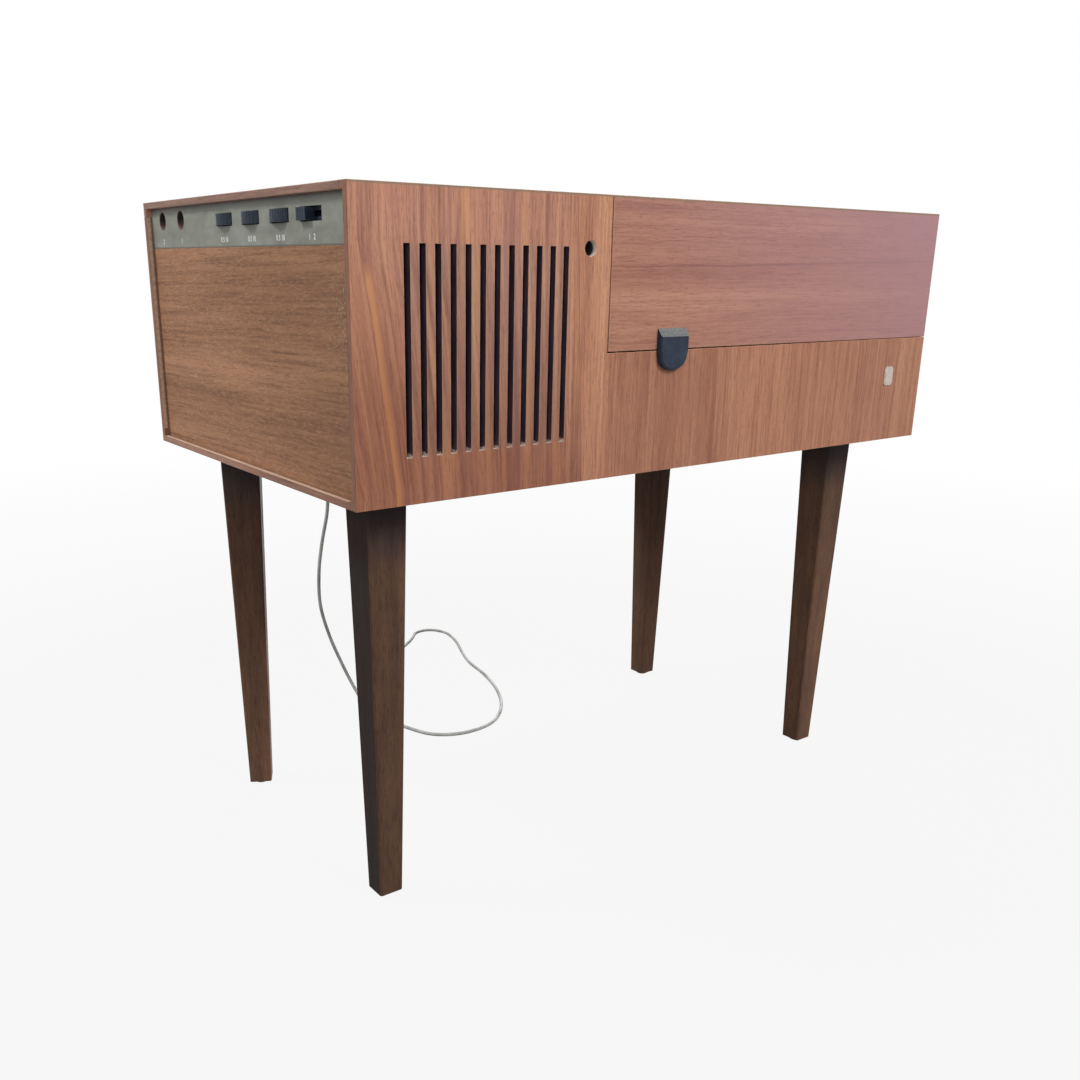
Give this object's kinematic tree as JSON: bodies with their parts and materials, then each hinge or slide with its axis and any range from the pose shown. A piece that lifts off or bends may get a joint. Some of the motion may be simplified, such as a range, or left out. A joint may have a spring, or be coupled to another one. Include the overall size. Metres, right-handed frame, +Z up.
{
  "type": "record player cabinet",
  "caption": "Legged teak record player cabinet with a slotted loudspeaker front, controls in its left end and a hinged lid over a record deck.",
  "frame": {"origin": "on the floor, under the centre of the case", "axes": "+X along the front to its right end, +Y from the front to the rear, +Z up; the front with its slots faces -Y"},
  "size_m": [0.65, 0.6298, 0.566],
  "materials": {
    "teak": "satin oiled veneer with a long straight grain",
    "teak_end": "matte oiled veneer",
    "leg_wood": "dark stained, matte",
    "softwood": "planed, bare",
    "hardboard": "bare, smooth on one side",
    "strip_metal": "matte grey-green paint",
    "deck_paint": "fine satin enamel",
    "steel": "bright zinc plate",
    "brass": "turned",
    "aluminium": "turned, fine circular lines",
    "black_plastic": "blue-black moulding, slightly glossy",
    "board_plastic": "brown phenolic",
    "rubber": "matte",
    "cloth": "black woven cloth and black paper",
    "cord_plastic": "pale grey sheath"
  },
  "bodies": {
    "case": {"front_board": "teak", "top_board": "teak", "bottom_board": "teak_end", "rear_board": "teak_end", "right_end_board": "teak", "partition": "teak_end", "end_panel": "teak_end", "control_strip": "strip_metal", "back_cover": "hardboard", "battens": "softwood", "leg_front_left": "leg_wood", "leg_front_right": "leg_wood", "leg_rear_left": "leg_wood", "leg_rear_right": "leg_wood", "leg_glides": "rubber", "leg_bolts": "steel", "case_hinge_leaves": "steel", "hinge_pins": "steel", "stay_stud": "steel", "potentiometers": "steel", "selector_switch": "board_plastic", "aux_sockets": "board_plastic", "amp_chassis": "steel", "amplifier_board": "board_plastic", "mains_transformer": "steel", "pilot_lamp": "steel", "sound_cloth": "cloth", "speaker_baffle": "softwood", "speaker_frame": "steel", "speaker_cone": "cloth", "deck_plate": "deck_paint", "deck_mounts": "rubber", "motor": "deck_paint", "spindle_bearing": "brass", "tonearm_post": "steel", "arm_rest": "black_plastic", "cord_gland": "rubber", "mains_cord": "cord_plastic", "cord_coil": "cord_plastic", "mains_plug": "black_plastic"},
    "lid": {"lid_top": "teak", "lid_front": "teak", "lid_side": "teak", "lid_pull": "black_plastic", "lid_hinge_leaves": "steel", "stay_bracket": "steel"},
    "stay_arm": {"stay_arm": "steel"},
    "volume_wheel": {"volume_wheel": "black_plastic"},
    "bass_wheel": {"bass_wheel": "black_plastic"},
    "treble_wheel": {"treble_wheel": "black_plastic"},
    "selector_tab": {"selector_tab": "black_plastic"},
    "platter": {"platter": "aluminium", "platter_mat": "rubber", "spindle": "steel"},
    "idler": {"idler_wheel": "rubber"},
    "motor_rotor": {"motor_pulley": "brass"},
    "tonearm_yoke": {"tonearm_yoke": "steel"},
    "tonearm": {"tonearm": "aluminium", "pickup_cartridge": "black_plastic"},
    "speed_knob": {"speed_knob": "black_plastic"}
  },
  "joints": [
    {"name": "lid_hinge", "type": "hinge", "parent": "case", "child": "lid", "pos_m": [0, 0.1933, 0.55375], "axis": [-1, 0, 0], "range_deg": [0, 80]},
    {"name": "stay_pivot", "type": "hinge", "parent": "lid", "child": "stay_arm", "pos_m": [-0.095, 0.13388, 0.5454], "axis": [-1, 0, 0], "range_deg": [-40, 0]},
    {"name": "volume_turn", "type": "hinge", "parent": "case", "child": "volume_wheel", "pos_m": [-0.3028, 0.02, 0.5476], "axis": [0, 0, 1], "range_deg": [0, 270]},
    {"name": "bass_turn", "type": "hinge", "parent": "case", "child": "bass_wheel", "pos_m": [-0.3028, -0.03, 0.5476], "axis": [0, 0, 1], "range_deg": [0, 270]},
    {"name": "treble_turn", "type": "hinge", "parent": "case", "child": "treble_wheel", "pos_m": [-0.3028, -0.08, 0.5476], "axis": [0, 0, 1], "range_deg": [0, 270]},
    {"name": "selector_slide", "type": "slide", "parent": "case", "child": "selector_tab", "axis": [0, -1, 0], "range_m": [0, 0.015]},
    {"name": "platter_spin", "type": "hinge", "parent": "case", "child": "platter", "pos_m": [0.062, 0, 0.45], "axis": [0, 0, 1], "continuous": true},
    {"name": "idler_spin", "type": "hinge", "parent": "case", "child": "idler", "pos_m": [-0.02261, 0.04885, 0.45], "axis": [0, 0, 1], "continuous": true},
    {"name": "motor_spin", "type": "hinge", "parent": "case", "child": "motor_rotor", "pos_m": [-0.01106, 0.02884, 0.44], "axis": [0, 0, 1], "continuous": true},
    {"name": "arm_swing", "type": "hinge", "parent": "case", "child": "tonearm_yoke", "pos_m": [0.25, 0.11, 0.47], "axis": [0, 0, -1], "range_deg": [0, 45]},
    {"name": "arm_lift", "type": "hinge", "parent": "tonearm_yoke", "child": "tonearm", "pos_m": [0.25, 0.11, 0.482], "axis": [-1, 0, 0], "range_deg": [0, 12]},
    {"name": "speed_turn", "type": "hinge", "parent": "case", "child": "speed_knob", "pos_m": [0.283, -0.098, 0.44], "axis": [0, 0, 1], "range_deg": [0, 90]}
  ],
  "couplings": [
    {"joint": "stay_pivot", "follows": "lid_hinge", "ratio": -0.5},
    {"joint": "idler_spin", "follows": "platter_spin", "ratio": 5.9},
    {"joint": "motor_spin", "follows": "platter_spin", "ratio": -42.143}
  ]
}
